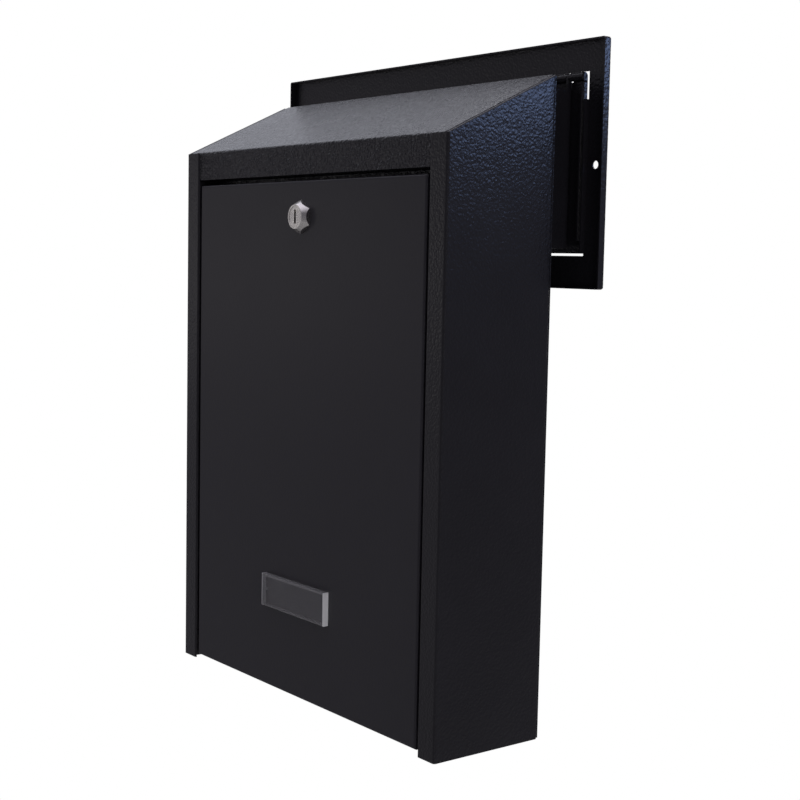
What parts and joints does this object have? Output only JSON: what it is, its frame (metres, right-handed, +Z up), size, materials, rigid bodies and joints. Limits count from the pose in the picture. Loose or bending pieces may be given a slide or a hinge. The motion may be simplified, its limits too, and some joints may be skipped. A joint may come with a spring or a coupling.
{
  "type": "wall mounted mailbox",
  "caption": "Black sheet-steel rear-access mailbox with a sloped roof, a drop-down locking door, and a chute through the gate to a street plate with a posting flap.",
  "frame": {"origin": "centre of the four screw holes, on the back panel's outer face", "axes": "+X right seen from the door, +Y out of the back towards the street, +Z up"},
  "size_m": [0.34, 0.1163, 0.4323],
  "materials": {
    "black_powder_coat": "semi-gloss black powder coat with a hammer relief on sides, roof and plate",
    "lock_nickel": "bright nickel plate",
    "zinc_plate": "bright zinc plate",
    "brass_wafer": "plain stamped brass",
    "nylon": "natural moulded nylon",
    "clear_window": "clear moulded plastic"
  },
  "bodies": {
    "case": {"side_panel_left": "black_powder_coat", "side_panel_right": "black_powder_coat", "roof_panel": "black_powder_coat", "back_panel": "black_powder_coat", "floor_panel": "black_powder_coat", "chute_hood": "black_powder_coat", "chute_floor": "black_powder_coat", "street_plate": "black_powder_coat", "plate_rivets": "black_powder_coat", "flap_rod": "black_powder_coat", "flap_rod_clips": "black_powder_coat", "hinge_bracket_left": "black_powder_coat", "hinge_bracket_right": "black_powder_coat", "hinge_pin_left": "zinc_plate", "hinge_pin_right": "zinc_plate", "hinge_washer_left": "nylon", "hinge_washer_right": "nylon"},
    "door": {"door_panel": "black_powder_coat", "lock_housing": "lock_nickel", "lock_washer": "zinc_plate", "lock_nut": "zinc_plate", "name_window": "clear_window"},
    "lock_plug": {"lock_plug": "lock_nickel", "lock_wafers": "brass_wafer", "lock_stop_washer": "zinc_plate", "lock_cam": "zinc_plate", "lock_cam_screw": "zinc_plate"},
    "flap": {"posting_flap": "black_powder_coat"}
  },
  "joints": [
    {"name": "door_hinge", "type": "hinge", "parent": "case", "child": "door", "pos_m": [0, -0.0768, -0.1488], "axis": [1, 0, 0], "range_deg": [0, 95]},
    {"name": "lock_turn", "type": "hinge", "parent": "door", "child": "lock_plug", "pos_m": [0, -0.075, 0.1635], "axis": [0, -1, 0], "range_deg": [0, 90]},
    {"name": "flap_hinge", "type": "hinge", "parent": "case", "child": "flap", "pos_m": [0, 0.02185, 0.25055], "axis": [1, 0, 0], "range_deg": [0, 85]}
  ]
}
